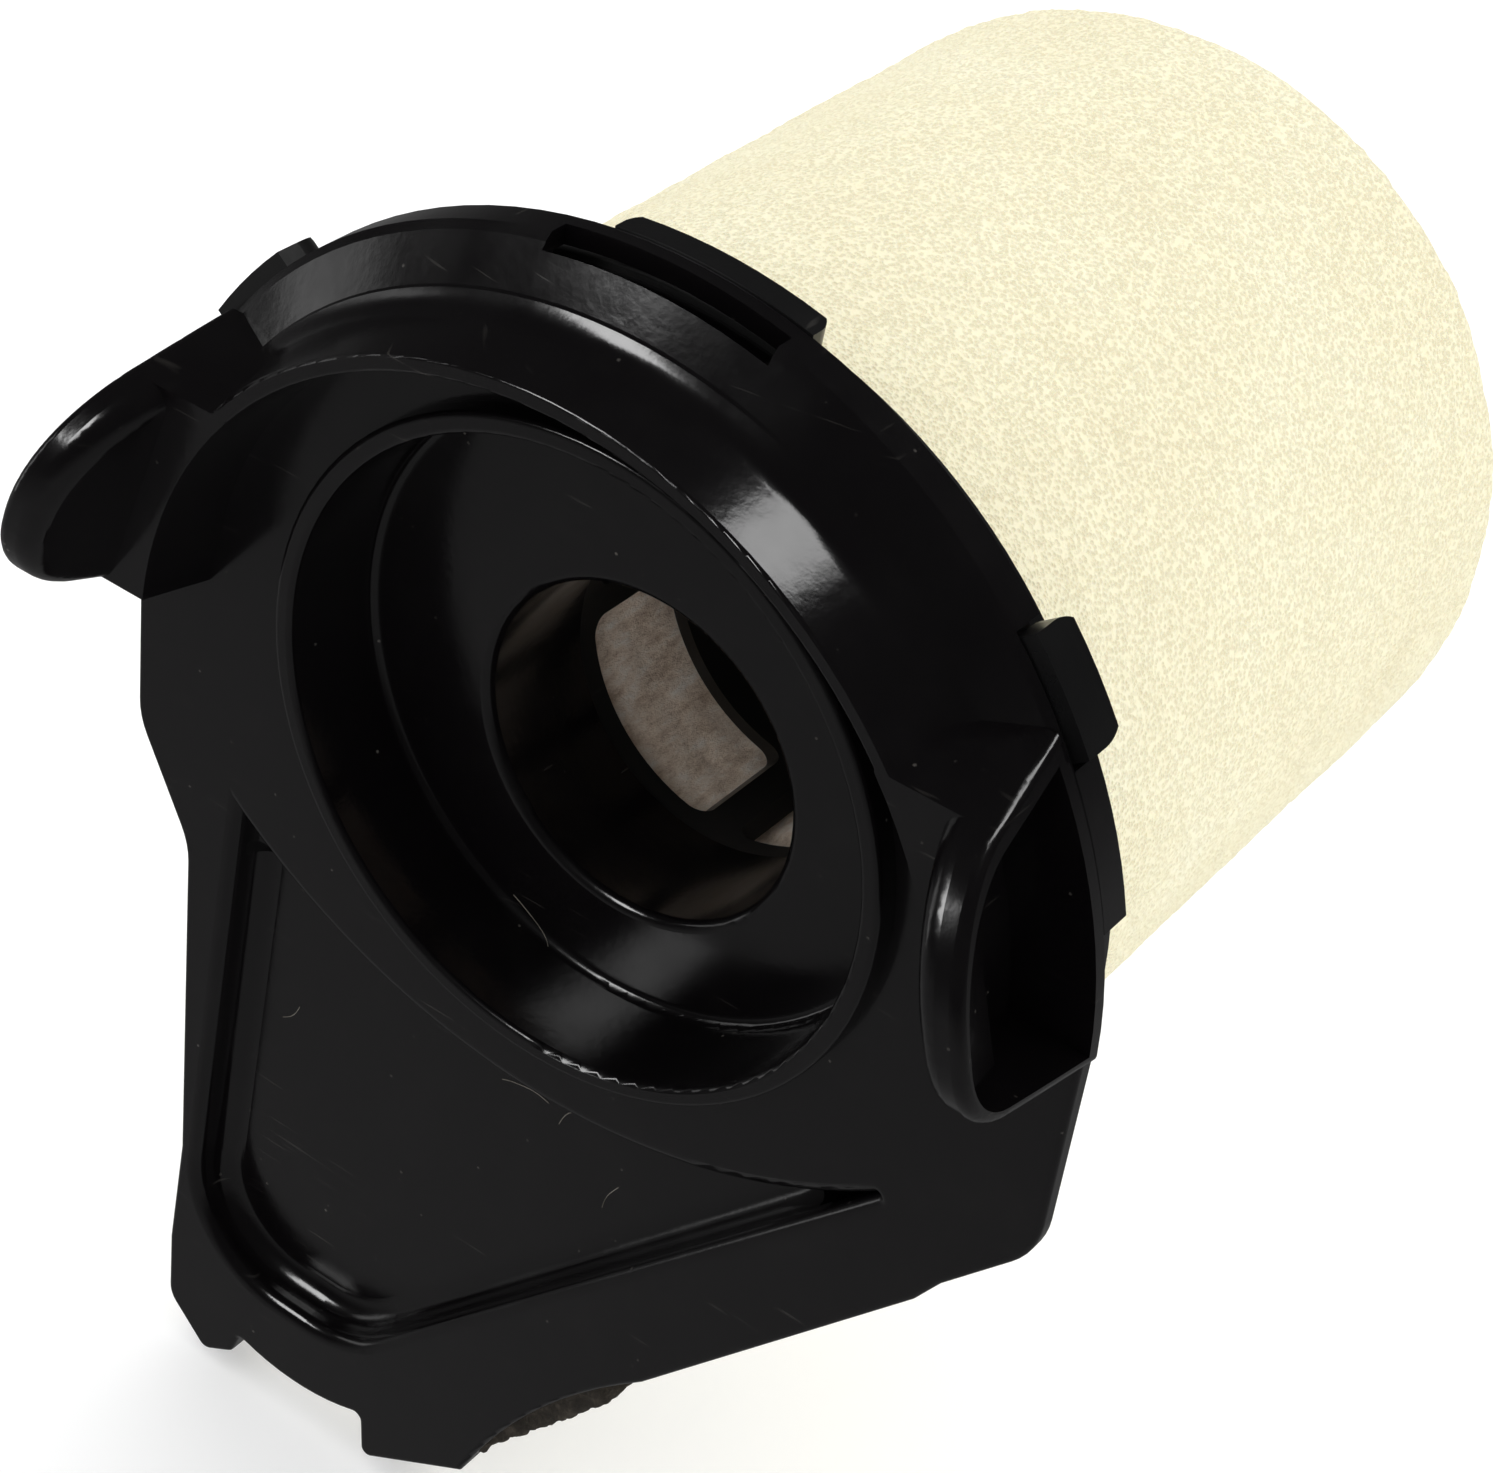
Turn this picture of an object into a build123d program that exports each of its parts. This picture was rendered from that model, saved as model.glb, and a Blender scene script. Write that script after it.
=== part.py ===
from build123d import *
from math import cos, hypot, radians, sin, tan
import os

# Air filter housing, in millimetres.  The outlet bore's axis is the Y axis.  The outlet side faces -Y and
# the foam stands out towards +Y.  Y = 0 is where the bore's straight wall begins, behind its rounded mouth.

# ---- driving dimensions ----
FLANGE_R = 62.0  # round rim that seats in the machine
RIM_FRONT = -8.6
RIM_BACK = -4.6
RIM_INNER_R = 59.8
RIM_ARC_Z = 16.0  # the rim's outer wall stops here; only the inner wall goes all the way round
SEAT_R = 57.5  # inner wall, which the seal presses on
SEAT_INNER_R = 55.2
SEAT_FRONT = -9.8

BORE_R = 20.0  # clean-air outlet
BORE_ROUND = 1.2
SPIGOT_R = 22.0  # outside of the tube behind the outlet
SPIGOT_END = 14.8

PLATE_FRONT = -11.7  # flat face of the shield
PLATE_BACK = -9.5
EDGE_ROUND = 0.7

COLLAR_FRONT = -22.4  # raised collar over the upper half
COLLAR_INNER_R = 51.3
COLLAR_OUTER_R = 53.1
COLLAR_FOOT_R = 50.6
COLLAR_END_Z = 6.4
COLLAR_ROUND = 0.4
COLLAR_WAIST = (54.3, -15.8)  # radius and depth of the points down the collar's outside
COLLAR_HOLLOW = (55.0, -13.8)
STEP_TOP = (56.4, -12.5)
STEP_BOTTOM = (56.6, -12.1)
CONE_EDGE = (61.2, -9.45)
CONE_BACK = (56.8, PLATE_BACK)
CONE_INNER_Y = -8.0

WELL_R = 37.0
WELL_Z = 5.3  # the well sits above the bore's axis
WELL_WALL = 2.4
WELL_LIP = -14.6
WELL_FLOOR = -BORE_ROUND
WELL_BACK = 0.8
WELL_FLOOR_ROUND = 1.2

EAR_FRONT = -34.1  # hollow finger grips on both sides
EAR_WALL = 1.6
EAR_OUTER_R = 62.5
EAR_REACH = 20.0
EAR_START_X = 40.0
EAR_END_X = 70.0
EAR_OUTER_ROUND = 1.2
EAR_INNER_ROUND = 2.5
EAR_TOP_ROUND = 16.0
EAR_FOOT_ROUND = 10.0
EAR_DRAFT = 14.0  # the inner wall leans outwards towards the crest

POCKET_FLOOR = -6.2  # dished recess in the apron
POCKET_BACK = RIM_BACK
POCKET_SKIN = 1.8
POCKET_ROUND = 3.0
POCKET_EDGE_ROUND = 1.7
SKIRT_WALL = 2.0
SKIRT_TOP_Z = -36.0

SLOT_ANGLE = 88.5  # latch slot through the top of the rim's outer wall
SLOT_WIDTH = 26.8
SLOT_START = -9.9
SLOT_END = -6.5
SLOT_INNER_R = 54.0

SEAL_OUTER_R = 58.4
SEAL_GROOVE_R = 58.0
SEAL_INNER_R = 54.7
SEAL_FRONT = -4.3
SEAL_BACK = -2.5
SEAL_RIDGES = 2

FRAME_R = 56.3
FRAME_INNER_R = 52.0
FRAME_FRONT = -2.3
FRAME_BACK = 2.3
FRAME_EDGE = 1.0
FRAME_LIP_R = 54.4  # forward lip that carries the seal
FRAME_LIP_INNER_R = 52.8
FRAME_LIP_FRONT = -4.2
WEB_FRONT = 1.0
WEB_BACK = 3.0
WEB_HOLE_R = 27.6
CLIP_ANGLE = 37.5  # degrees up from the X axis
CLIP_WIDTH = 13.0
CLIP_OUTER_R = 63.8
CLIP_INNER_R = 61.2
CLIP_FRONT = -8.3
CLIP_SLOPE = (CLIP_OUTER_R, -2.6)  # the clip's rear edge slopes from here
CLIP_SLOPE_END = 62.3
CLIP_BACK = -0.8
CLIP_ROUND = 4.5
CLIP_NOTCH_R = 60.4
CLIP_NOTCH_WIDTH = 14.4
LUG_ANGLE = 86.0
LUG_WIDTH = 23.6
LUG_OUTER_R = 62.2
LUG_INNER_R = 60.2
LUG_FRONT = -4.5
LUG_SLOPE = (LUG_OUTER_R, -1.3)
LUG_SLOPE_END = 61.6
LUG_BACK = -0.6
LUG_ROUND = 2.6

CORE_FLANGE_R = 31.0
CORE_FLANGE_BACK = 5.0
SOCKET_R = 22.06
SOCKET_OUTER_R = 24.0
SOCKET_END = 16.8
SOCKET_SHOULDER = 15.0
CORE_OUTER_R = 22.0
CORE_INNER_R = 20.3
CORE_END = 88.8
WINDOW_START = 17.8
WINDOW_LENGTH = 16.0
WINDOW_PITCH = 23.0
WINDOW_ROWS = 3
WINDOW_COUNT = 4
WINDOW_WIDTH = 25.6
WINDOW_ROUND = 2.0

GASKET_FRONT = 1.1
GASKET_INNER_R = 22.3
GASKET_OUTER_R = 27.2

FELT_INNER_R = 22.4
FELT_OUTER_R = 27.4
FELT_START = 17.4
FELT_END = 87.8

BASKET_INNER_R = 36.0
BASKET_OUTER_R = 38.0
BASKET_END = 92.8
BASKET_FOOT_R = 33.5
BASKET_WINDOWS = 6
BASKET_ROWS = 3
BASKET_WINDOW_START = 9.0
BASKET_WINDOW_LENGTH = 23.0
BASKET_WINDOW_PITCH = 27.5
BASKET_WINDOW_WIDTH = 29.0
BASKET_WINDOW_ROUND = 3.0

CAP_PLUG_R = 20.2
CAP_PLUG_INNER_R = 18.4
CAP_PLUG_START = 80.0
CAP_FRONT = 90.3
CAP_FLOOR = 92.3
CAP_WALL_R = 35.9
CAP_HOLLOW_R = 34.0
CAP_OUTER_R = 38.0
CAP_RIM_FRONT = 93.0
CAP_BACK = 95.0
TAB_LENGTH = 18.0
TAB_THICK = 2.4
TAB_END = 100.0
TAB_ROUND = 4.0

FOAM_INNER_R = 38.3
FOAM_OUTER_R = 50.2
FOAM_FRONT = 3.4
FOAM_END = 101.2
FOAM_ROUND = 5.0

PAD_FRONT = -9.3
PAD_BACK = -3.6

OUTSIDE = 80.0

os.makedirs("parts", exist_ok=True)


# ---- helpers ----
def front_plane(y):
    """A plane square to the bore's axis; its local axes are X and Z."""
    return Plane.XZ.offset(-y)


def outward(angle):
    """A plane through the axis facing out at an angle up from X; local x runs along the axis."""
    return Plane(origin=(0, 0, 0), x_dir=(0, 1, 0), z_dir=(cos(radians(angle)), 0, sin(radians(angle))))


def on_ear_outside(edge):
    """True for an edge that lies on the grip's round outside, in front of the plate."""
    points = (edge @ 0, edge @ 0.5, edge @ 1)
    round_side = all(abs(Vector(v.X, v.Z).length - EAR_OUTER_R) < 0.01 for v in points)
    return round_side and edge.bounding_box().min.Y < PLATE_BACK - 1


def inside_apron(edge):
    """True for an edge of the pocket, which lies well within the apron's own outline."""
    point = edge @ 0.5
    below_rim = edge.bounding_box().max.Z < POCKET_TOP_RIGHT[1] + 1
    return below_rim and pocket_outline.sketch.distance_to(Vector(point.X, point.Z)) < 0.1


def on_inner_wall(edge):
    """True for an edge that lies on the grip's flat inner wall, which leans outwards to the front."""
    slope = (GRIP_WALL_FOOT[0] - GRIP_WALL_TOP[0]) / (GRIP_WALL_FOOT[1] - GRIP_WALL_TOP[1])
    lean = tan(radians(EAR_DRAFT)) * hypot(1, slope)
    points = (edge @ 0, edge @ 0.5, edge @ 1)
    past_top = [v.X - GRIP_WALL_TOP[0] - slope * (v.Z - GRIP_WALL_TOP[1]) for v in points]
    return all(abs(x - lean * (COLLAR_FRONT - v.Y)) < 0.02 for v, x in zip(points, past_top))


def corner(sketch, point):
    """The sketch's vertex at a named corner."""
    return min(sketch.vertices(), key=lambda v: abs(v.X - point[0]) + abs(v.Y - point[1]))


def save(builder, name):
    builder.part.label = name
    export_step(builder.part, f"parts/{name}.step")


# ---- the shield's outline in X and Z: shoulders below the collar, then the apron ----
SIDE_TOP = (FLANGE_R, COLLAR_END_Z)
SHOULDER = (FLANGE_R, -23.4)
HIP = (52.4, -34.6)
WAIST_RIGHT = (49.8, -38.8)
ARCH_END = (18.4, -75.5)
ARCH_TOP = (5.0, -90.3)
HEEL = (-5.8, -110.0)
STEP_FOOT = (-21.5, -119.5)
SILL_END = (-22.2, -112.0)
SILL_MIDDLE = (-33.2, -114.5)
NOTCH_TOP = (-42.8, -113.0)
TOE_RIGHT = (-44.2, -117.0)
TOE_LEFT = (-48.8, -119.8)
CORNER_LEFT = (-55.2, -113.6)
FOOT_LEFT = (-55.2, -103.0)
SIDE_LEFT = (-53.7, -86.0)
WAIST_LEFT = (-53.9, -37.0)
SHOULDER_LEFT = (-FLANGE_R, -22.4)
SIDE_TOP_LEFT = (-FLANGE_R, COLLAR_END_Z)

with BuildSketch(Plane.XY) as shield_outline:
    with BuildLine():
        Polyline(SILL_END, STEP_FOOT, HEEL)
        ThreePointArc(HEEL, ARCH_TOP, ARCH_END)
        Polyline(ARCH_END, WAIST_RIGHT, HIP, SHOULDER, SIDE_TOP, SIDE_TOP_LEFT, SHOULDER_LEFT, WAIST_LEFT)
        Polyline(WAIST_LEFT, SIDE_LEFT, FOOT_LEFT, CORNER_LEFT, TOE_LEFT, TOE_RIGHT, NOTCH_TOP)
        ThreePointArc(NOTCH_TOP, SILL_MIDDLE, SILL_END)
    make_face()
    for point, radius in (
        (SHOULDER, 10.0),
        (SHOULDER_LEFT, 10.0),
        (WAIST_LEFT, 10.0),
        (CORNER_LEFT, 4.0),
        (HIP, 2.5),
        (WAIST_RIGHT, 2.5),
        (TOE_LEFT, 1.6),
        (TOE_RIGHT, 1.2),
        (STEP_FOOT, 1.2),
        (SILL_END, 0.9),
        (NOTCH_TOP, 0.9),
    ):
        fillet(corner(shield_outline, point), radius)

POCKET_TOP_LEFT = (-46.0, -28.0)
POCKET_ARC = (-2.7, -42.9)
POCKET_TOP_RIGHT = (43.2, -28.0)
POCKET_FOOT_RIGHT = (-25.2, -102.4)
POCKET_FOOT_LEFT = (-52.0, -102.4)

with BuildSketch(Plane.XY) as pocket_outline:
    with BuildLine():
        ThreePointArc(POCKET_TOP_LEFT, POCKET_ARC, POCKET_TOP_RIGHT)
        Polyline(POCKET_TOP_RIGHT, POCKET_FOOT_RIGHT, POCKET_FOOT_LEFT, POCKET_TOP_LEFT)
    make_face()
    fillet(corner(pocket_outline, POCKET_FOOT_RIGHT), 16)
    fillet(corner(pocket_outline, POCKET_FOOT_LEFT), 14)

# the strip behind the arch that holds the fibre pad
PAD_FOOT_OUT = (-9.5, -113.7)
PAD_TOP_OUT = (13.0, -85.4)
PAD_TOP_IN = (6.0, -79.8)
PAD_FOOT_IN = (-16.5, -108.1)
PAD_CLEARANCE = 0.5

with BuildSketch(Plane.XY) as pad_outline:
    Polygon(PAD_FOOT_OUT, PAD_TOP_OUT, PAD_TOP_IN, PAD_FOOT_IN, align=None)

# ---- one hollow finger grip; the other is its mirror image ----
GRIP_TOP_BACK = (PLATE_BACK, 35.6)
GRIP_TOP = (EAR_FRONT, 29.6)
GRIP_FOOT = (EAR_FRONT, 7.6)
GRIP_FOOT_BACK = (PLATE_BACK, 1.6)
GRIP_WALL_TOP = (43.2, 44.9)  # the grip's flat inner wall, seen along the axis
GRIP_WALL_FOOT = (60.5, -9.1)

with BuildSketch(Plane.XY) as grip_side:
    Polygon(GRIP_TOP_BACK, GRIP_TOP, GRIP_FOOT, GRIP_FOOT_BACK, align=None)
    fillet(corner(grip_side, GRIP_TOP), EAR_TOP_ROUND)
    fillet(corner(grip_side, GRIP_FOOT), EAR_FOOT_ROUND)


def axis_side(gap):
    """Everything between the axis and the grip's flat inner wall, moved outwards by a gap."""
    top = (GRIP_WALL_TOP[0] + gap, GRIP_WALL_TOP[1])
    foot = (GRIP_WALL_FOOT[0] + gap, GRIP_WALL_FOOT[1])
    Polygon(top, foot, (0, GRIP_WALL_FOOT[1]), (0, GRIP_WALL_TOP[1]), align=None)


with BuildPart() as grip_hollow:
    with BuildSketch(Plane.YZ.offset(EAR_START_X)):
        offset(grip_side.sketch, amount=-EAR_WALL)
    extrude(amount=EAR_END_X - EAR_START_X)
    with BuildSketch(front_plane(COLLAR_FRONT + EAR_WALL)):
        Circle(COLLAR_OUTER_R)
    extrude(amount=COLLAR_FRONT, mode=Mode.SUBTRACT)
    with BuildSketch(front_plane(COLLAR_FRONT + EAR_WALL)):
        axis_side(EAR_WALL)
    extrude(amount=EAR_REACH, taper=-EAR_DRAFT, mode=Mode.SUBTRACT)

with BuildPart() as ear:
    with BuildSketch(Plane.YZ.offset(EAR_START_X)):
        add(grip_side.sketch)
    extrude(amount=EAR_END_X - EAR_START_X)
    with BuildSketch(front_plane(EAR_FRONT)):
        Circle(EAR_OUTER_R)
        Circle(COLLAR_INNER_R, mode=Mode.SUBTRACT)
    extrude(amount=EAR_FRONT, mode=Mode.INTERSECT)
    with BuildSketch(front_plane(COLLAR_FRONT)):
        axis_side(0)
    extrude(amount=EAR_REACH, taper=-EAR_DRAFT, mode=Mode.SUBTRACT)
    fillet(ear.edges().filter_by(on_ear_outside), EAR_OUTER_ROUND)
    wall_edges = ear.edges().filter_by(lambda e: on_inner_wall(e) and (e @ 0.5).Y < COLLAR_FRONT - 0.5)
    fillet(wall_edges, EAR_INNER_ROUND)

with BuildPart() as dish:
    with BuildSketch(front_plane(PLATE_FRONT - EDGE_ROUND)):
        add(pocket_outline.sketch)
    extrude(amount=PLATE_FRONT - EDGE_ROUND - POCKET_FLOOR)
    fillet(dish.edges().filter_by_position(Axis.Y, POCKET_FLOOR - 0.01, POCKET_FLOOR + 0.01), POCKET_ROUND)

# ---- clip, its notch in the rim, and the lug, each bent round the rim ----
with BuildPart() as clip:
    with BuildSketch(outward(CLIP_ANGLE)) as clip_shape:
        with Locations((CLIP_FRONT, 0)):
            Rectangle(CLIP_BACK - CLIP_FRONT, CLIP_WIDTH, align=(Align.MIN, Align.CENTER))
        fillet(corner(clip_shape, (CLIP_BACK, CLIP_WIDTH / 2)), CLIP_ROUND)
        fillet(corner(clip_shape, (CLIP_BACK, -CLIP_WIDTH / 2)), CLIP_ROUND)
    extrude(amount=OUTSIDE)
    with BuildSketch(Plane.XY):
        Polygon(
            (CLIP_INNER_R, CLIP_FRONT),
            (CLIP_OUTER_R, CLIP_FRONT),
            CLIP_SLOPE,
            (CLIP_SLOPE_END, CLIP_BACK),
            (FRAME_LIP_R, CLIP_BACK),
            (FRAME_LIP_R, FRAME_FRONT),
            (CLIP_INNER_R, FRAME_FRONT),
            align=None,
        )
    revolve(axis=Axis.Y, mode=Mode.INTERSECT)

with BuildPart() as clip_notch:
    with BuildSketch(outward(CLIP_ANGLE)):
        with Locations((RIM_FRONT, 0)):
            Rectangle(-RIM_FRONT, CLIP_NOTCH_WIDTH, align=(Align.MIN, Align.CENTER))
    extrude(amount=OUTSIDE)
    with BuildSketch(front_plane(RIM_FRONT)):
        Circle(CLIP_NOTCH_R)
    extrude(amount=RIM_FRONT, mode=Mode.SUBTRACT)

with BuildPart() as lug:
    with BuildSketch(outward(LUG_ANGLE)) as lug_shape:
        with Locations((LUG_FRONT, 0)):
            Rectangle(LUG_BACK - LUG_FRONT, LUG_WIDTH, align=(Align.MIN, Align.CENTER))
        fillet(corner(lug_shape, (LUG_BACK, LUG_WIDTH / 2)), LUG_ROUND)
        fillet(corner(lug_shape, (LUG_BACK, -LUG_WIDTH / 2)), LUG_ROUND)
    extrude(amount=OUTSIDE)
    with BuildSketch(Plane.XY):
        Polygon(
            (LUG_INNER_R, LUG_FRONT),
            (LUG_OUTER_R, LUG_FRONT),
            LUG_SLOPE,
            (LUG_SLOPE_END, LUG_BACK),
            (FRAME_LIP_R, LUG_BACK),
            (FRAME_LIP_R, FRAME_FRONT),
            (LUG_INNER_R, FRAME_FRONT),
            align=None,
        )
    revolve(axis=Axis.Y, mode=Mode.INTERSECT)

# ---- front housing ----
with BuildPart() as front_housing:
    # shield plate
    with BuildSketch(front_plane(PLATE_FRONT)):
        add(shield_outline.sketch)
    extrude(amount=PLATE_FRONT - PLATE_BACK)
    front_edges = front_housing.edges().filter_by_position(Axis.Y, PLATE_FRONT - 0.01, PLATE_FRONT + 0.01)
    fillet(front_edges.filter_by(lambda e: e.center().Z < COLLAR_END_Z - 1), EDGE_ROUND)
    with BuildSketch(front_plane(PLATE_FRONT)):
        Circle(COLLAR_INNER_R)
    extrude(amount=PLATE_FRONT - PLATE_BACK)

    # apron skirt, open behind the arch
    with BuildSketch(front_plane(PLATE_BACK)):
        add(shield_outline.sketch)
        offset(shield_outline.sketch, amount=-SKIRT_WALL, mode=Mode.SUBTRACT)
        with Locations((0, SKIRT_TOP_Z)):
            Rectangle(2 * OUTSIDE, OUTSIDE, align=(Align.CENTER, Align.MIN), mode=Mode.SUBTRACT)
        offset(pad_outline.sketch, amount=PAD_CLEARANCE, kind=Kind.INTERSECTION, mode=Mode.SUBTRACT)
    extrude(amount=PLATE_BACK - RIM_BACK)

    # dished pocket
    with BuildSketch(front_plane(PLATE_BACK)):
        offset(pocket_outline.sketch, amount=POCKET_SKIN)
        add(shield_outline.sketch, mode=Mode.INTERSECT)
    extrude(amount=PLATE_BACK - POCKET_BACK)

    # collar and rim
    with BuildSketch(Plane.XY) as rim_section:
        with BuildLine():
            Polyline((COLLAR_FOOT_R, PLATE_BACK), (COLLAR_INNER_R, COLLAR_FRONT))
            Polyline((COLLAR_INNER_R, COLLAR_FRONT), (COLLAR_OUTER_R, COLLAR_FRONT), COLLAR_WAIST)
            ThreePointArc(COLLAR_WAIST, COLLAR_HOLLOW, STEP_TOP)
            Polyline(STEP_TOP, STEP_BOTTOM, CONE_EDGE, (FLANGE_R, RIM_FRONT), (FLANGE_R, RIM_BACK))
            Polyline((FLANGE_R, RIM_BACK), (RIM_INNER_R, RIM_BACK), (RIM_INNER_R, CONE_INNER_Y), CONE_BACK)
            Line(CONE_BACK, (COLLAR_FOOT_R, PLATE_BACK))
        make_face()
        fillet(corner(rim_section, (COLLAR_INNER_R, COLLAR_FRONT)), COLLAR_ROUND)
        fillet(corner(rim_section, (COLLAR_OUTER_R, COLLAR_FRONT)), COLLAR_ROUND)
    revolve(axis=Axis.Y)
    with BuildSketch(front_plane(EAR_FRONT)):
        with Locations((0, COLLAR_END_Z)):
            Rectangle(2 * OUTSIDE, 2 * OUTSIDE, align=(Align.CENTER, Align.MAX))
    extrude(amount=EAR_FRONT - PLATE_FRONT, mode=Mode.SUBTRACT)
    with BuildSketch(front_plane(PLATE_BACK)):
        with Locations((0, RIM_ARC_Z)):
            Rectangle(2 * OUTSIDE, 2 * OUTSIDE, align=(Align.CENTER, Align.MAX))
        with Locations((0, SKIRT_TOP_Z)):
            Rectangle(2 * OUTSIDE, 2 * OUTSIDE, align=(Align.CENTER, Align.MAX), mode=Mode.SUBTRACT)
    extrude(amount=PLATE_BACK, mode=Mode.SUBTRACT)
    with BuildSketch(front_plane(SEAT_FRONT)):
        Circle(SEAT_R)
        Circle(SEAT_INNER_R, mode=Mode.SUBTRACT)
    extrude(amount=SEAT_FRONT - RIM_BACK)

    # finger grips
    add(ear.part)
    add(mirror(ear.part, about=Plane.YZ, mode=Mode.PRIVATE))
    add(grip_hollow.part, mode=Mode.SUBTRACT)
    add(mirror(grip_hollow.part, about=Plane.YZ, mode=Mode.PRIVATE), mode=Mode.SUBTRACT)

    # outlet well
    with BuildSketch(front_plane(WELL_LIP)):
        with Locations((0, WELL_Z)):
            Circle(WELL_R + WELL_WALL / 2)
    extrude(amount=WELL_LIP - WELL_BACK, mode=Mode.SUBTRACT)
    with BuildSketch(Plane.XY.offset(WELL_Z)) as well_section:
        Polygon(
            (0, WELL_FLOOR),
            (WELL_R, WELL_FLOOR),
            (WELL_R, WELL_LIP),
            (WELL_R + WELL_WALL, WELL_LIP),
            (WELL_R + WELL_WALL, WELL_BACK),
            (0, WELL_BACK),
            align=None,
        )
        fillet(corner(well_section, (WELL_R, WELL_FLOOR)), WELL_FLOOR_ROUND)
        fillet(corner(well_section, (WELL_R, WELL_LIP)), EDGE_ROUND)
        fillet(corner(well_section, (WELL_R + WELL_WALL, WELL_LIP)), EDGE_ROUND)
    revolve(axis=Axis((0, 0, WELL_Z), (0, 1, 0)))

    # outlet bore and its spigot
    with BuildSketch(front_plane(WELL_FLOOR)):
        Circle(SPIGOT_R)
    extrude(amount=WELL_FLOOR - SPIGOT_END)
    with BuildSketch(front_plane(WELL_FLOOR)):
        Circle(BORE_R)
    extrude(amount=WELL_FLOOR - SPIGOT_END, mode=Mode.SUBTRACT)
    round_edges = front_housing.edges().filter_by(GeomType.CIRCLE)
    bore_edges = round_edges.filter_by(lambda e: abs(e.radius - BORE_R) < 0.01)
    fillet(bore_edges.sort_by(Axis.Y)[0], BORE_ROUND)

    add(dish.part, mode=Mode.SUBTRACT)
    pocket_rim = front_housing.edges().filter_by_position(Axis.Y, PLATE_FRONT - 0.01, PLATE_FRONT + 0.01)
    fillet(pocket_rim.filter_by(inside_apron), POCKET_EDGE_ROUND)

    # latch slot through the top of the rim
    with BuildSketch(outward(SLOT_ANGLE).offset(SLOT_INNER_R)):
        with Locations((SLOT_START, 0)):
            Rectangle(SLOT_END - SLOT_START, SLOT_WIDTH, align=(Align.MIN, Align.CENTER))
    extrude(amount=OUTSIDE - SLOT_INNER_R, mode=Mode.SUBTRACT)

    # notches in the rim for the two clips
    add(clip_notch.part, mode=Mode.SUBTRACT)
    add(mirror(clip_notch.part, about=Plane.YZ, mode=Mode.PRIVATE), mode=Mode.SUBTRACT)
save(front_housing, "front_housing")

# ---- ridged seal round the rim ----
with BuildPart() as rim_seal:
    pitch = (SEAL_BACK - SEAL_FRONT) / SEAL_RIDGES
    with BuildSketch(Plane.XY):
        with BuildLine():
            Polyline((SEAL_GROOVE_R, SEAL_BACK), (SEAL_INNER_R, SEAL_BACK), (SEAL_INNER_R, SEAL_FRONT))
            Line((SEAL_INNER_R, SEAL_FRONT), (SEAL_GROOVE_R, SEAL_FRONT))
            for ridge in range(SEAL_RIDGES):
                start = SEAL_FRONT + ridge * pitch
                end = start + pitch
                ThreePointArc((SEAL_GROOVE_R, start), (SEAL_OUTER_R, (start + end) / 2), (SEAL_GROOVE_R, end))
        make_face()
    revolve(axis=Axis.Y)
save(rim_seal, "rim_seal")

# ---- filter frame behind the seal, with two clips and a lug at the top ----
with BuildPart() as filter_frame:
    with BuildSketch(Plane.XY):
        Polygon(
            (FRAME_LIP_INNER_R, FRAME_LIP_FRONT),
            (FRAME_LIP_R, FRAME_LIP_FRONT),
            (FRAME_LIP_R, FRAME_FRONT),
            (FRAME_R, FRAME_FRONT),
            (FRAME_R, FRAME_BACK),
            (FRAME_R - FRAME_EDGE, WEB_BACK),
            (WEB_HOLE_R, WEB_BACK),
            (WEB_HOLE_R, WEB_FRONT),
            (FRAME_INNER_R, WEB_FRONT),
            (FRAME_LIP_INNER_R, FRAME_FRONT),
            align=None,
        )
    revolve(axis=Axis.Y)
    add(clip.part)
    add(mirror(clip.part, about=Plane.YZ, mode=Mode.PRIVATE))
    add(lug.part)
save(filter_frame, "filter_frame")

# ---- core tube with windows, pressed over the spigot ----
with BuildPart() as core_tube:
    with BuildSketch(Plane.XY):
        Polygon(
            (SOCKET_R, WEB_BACK),
            (CORE_FLANGE_R, WEB_BACK),
            (CORE_FLANGE_R, CORE_FLANGE_BACK),
            (SOCKET_OUTER_R, CORE_FLANGE_BACK),
            (SOCKET_OUTER_R, SOCKET_END),
            (CORE_OUTER_R, SOCKET_END),
            (CORE_OUTER_R, CORE_END),
            (CORE_INNER_R, CORE_END),
            (CORE_INNER_R, SOCKET_SHOULDER),
            (SOCKET_R, SOCKET_SHOULDER),
            align=None,
        )
    revolve(axis=Axis.Y)
    windows_centre = WINDOW_START + WINDOW_LENGTH / 2 + WINDOW_PITCH * (WINDOW_ROWS - 1) / 2
    for window in range(WINDOW_COUNT):
        angle = (window + 0.5) * 360 / WINDOW_COUNT
        with BuildSketch(outward(angle)):
            with Locations((windows_centre, 0)):
                with GridLocations(WINDOW_PITCH, 0, WINDOW_ROWS, 1):
                    RectangleRounded(WINDOW_LENGTH, WINDOW_WIDTH, WINDOW_ROUND)
        extrude(amount=SOCKET_OUTER_R, mode=Mode.SUBTRACT)
save(core_tube, "core_tube")

# ---- flat gasket between the well and the core's flange ----
with BuildPart() as core_gasket:
    with BuildSketch(front_plane(GASKET_FRONT)):
        Circle(GASKET_OUTER_R)
        Circle(GASKET_INNER_R, mode=Mode.SUBTRACT)
    extrude(amount=GASKET_FRONT - WEB_BACK)
save(core_gasket, "core_gasket")

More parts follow.
